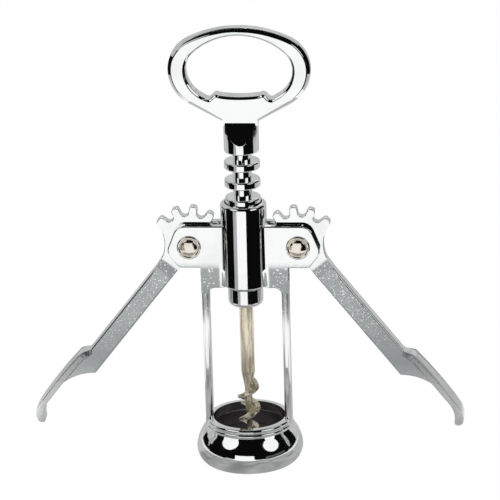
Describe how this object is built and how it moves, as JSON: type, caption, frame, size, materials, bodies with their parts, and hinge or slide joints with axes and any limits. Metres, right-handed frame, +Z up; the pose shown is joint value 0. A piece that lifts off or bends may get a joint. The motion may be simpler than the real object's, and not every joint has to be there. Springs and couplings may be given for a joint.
{
  "type": "wing corkscrew",
  "caption": "Wing corkscrew with geared levers on a round rack, a ring handle with bottle opener, a worm and a bell that sits on the bottle.",
  "frame": {"origin": "centre of the bell's foot, on the surface it stands on", "axes": "+Z up the worm and rack, X from lever to lever, +Y to the back"},
  "size_m": [0.152, 0.0376, 0.1598],
  "materials": {
    "frame_chrome": "polished plating on a zinc casting",
    "liner_black": "plain black moulding",
    "rivet_nickel": "warm nickel plating",
    "lever_chrome": "polished plating, arm faces as cast",
    "rack_chrome": "polished plating",
    "key_chrome": "polished plating",
    "ferrule_chrome": "polished plating",
    "worm_steel": "nickel-plated steel"
  },
  "bodies": {
    "stand": {"frame": "frame_chrome", "bell_liner": "liner_black", "rivet_left": "rivet_nickel", "rivet_right": "rivet_nickel"},
    "rack": {"rack": "rack_chrome"},
    "spindle": {"key": "key_chrome", "ferrule": "ferrule_chrome", "worm": "worm_steel"},
    "left_wing": {"lever_left": "lever_chrome"},
    "right_wing": {"lever_right": "lever_chrome"}
  },
  "joints": [
    {"name": "rack_slide", "type": "slide", "parent": "stand", "child": "rack", "axis": [0, 0, 1], "range_m": [-0.0285, 0.009]},
    {"name": "key_turn", "type": "hinge", "parent": "rack", "child": "spindle", "pos_m": [0, 0, 0.11], "axis": [0, 0, 1], "continuous": true},
    {"name": "left_lever", "type": "hinge", "parent": "stand", "child": "left_wing", "pos_m": [-0.019, 0, 0.0806], "axis": [0, 1, 0], "range_deg": [-37.8, 119.6]},
    {"name": "right_lever", "type": "hinge", "parent": "stand", "child": "right_wing", "pos_m": [0.019, 0, 0.0806], "axis": [0, 1, 0], "range_deg": [-119.6, 37.8]}
  ],
  "couplings": [
    {"joint": "left_lever", "follows": "rack_slide", "rad_per_m": -73.232},
    {"joint": "right_lever", "follows": "rack_slide", "rad_per_m": 73.232}
  ]
}
